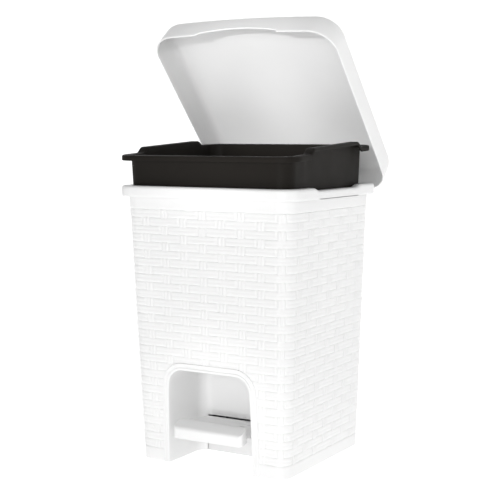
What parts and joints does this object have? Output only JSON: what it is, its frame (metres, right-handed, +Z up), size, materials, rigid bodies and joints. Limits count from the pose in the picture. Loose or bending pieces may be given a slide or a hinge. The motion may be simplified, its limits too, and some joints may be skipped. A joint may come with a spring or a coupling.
{
  "type": "pedal trash can",
  "caption": "Pedal bin with a tapered body moulded in a rattan weave, a plain rolled rim, a hinged domed lid, a lift-out inner bucket and a wide foot pedal in an arched recess.",
  "frame": {"origin": "centre of the body's footprint, on the floor", "axes": "+Z up, -Y to the front, where the pedal is; +X is on the right of someone facing the front"},
  "size_m": [0.2368, 0.2574, 0.5056],
  "materials": {
    "weave_plastic": "satin",
    "lid_plastic": "satin",
    "pedal_plastic": "satin",
    "bucket_plastic": "satin",
    "inner_plastic": "satin",
    "screw_steel": "zinc plated",
    "pin_steel": "bright",
    "rod_steel": "zinc plated",
    "buffer_rubber": "matt"
  },
  "bodies": {
    "housing": {"outer_body": "weave_plastic", "base_plate": "inner_plastic", "base_screws": "screw_steel", "pedal_axle": "pin_steel", "axle_clips": "pin_steel", "arm_buffer": "buffer_rubber", "rod_guide": "inner_plastic", "guide_screws": "screw_steel", "hinge_pin_left": "pin_steel", "hinge_pin_right": "pin_steel"},
    "lid": {"lid": "lid_plastic", "upper_link_pin": "pin_steel"},
    "lever": {"pedal_lever": "pedal_plastic", "lower_link_pin": "pin_steel"},
    "rod": {"lift_rod": "rod_steel"},
    "bucket": {"inner_bucket": "bucket_plastic"}
  },
  "joints": [
    {"name": "lid_hinge", "type": "hinge", "parent": "housing", "child": "lid", "pos_m": [0, 0.1144, 0.3091], "axis": [-1, 0, 0], "range_deg": [-47.79, 0]},
    {"name": "pedal_pivot", "type": "hinge", "parent": "housing", "child": "lever", "pos_m": [0, -0.016, 0.03], "axis": [1, 0, 0], "range_deg": [-12.7, 0]},
    {"name": "rod_slide", "type": "slide", "parent": "housing", "child": "rod", "axis": [0, 0, 1], "range_m": [-0.02269, 0]},
    {"name": "bucket_lift", "type": "slide", "parent": "housing", "child": "bucket", "axis": [0, 0, 1], "range_m": [-0.02721, 0]}
  ],
  "couplings": [
    {"joint": "pedal_pivot", "follows": "lid_hinge", "ratio": 0.26553},
    {"joint": "rod_slide", "follows": "lid_hinge", "m_per_rad": 0.027195},
    {"joint": "bucket_lift", "follows": "lid_hinge", "m_per_rad": 0.03261}
  ]
}
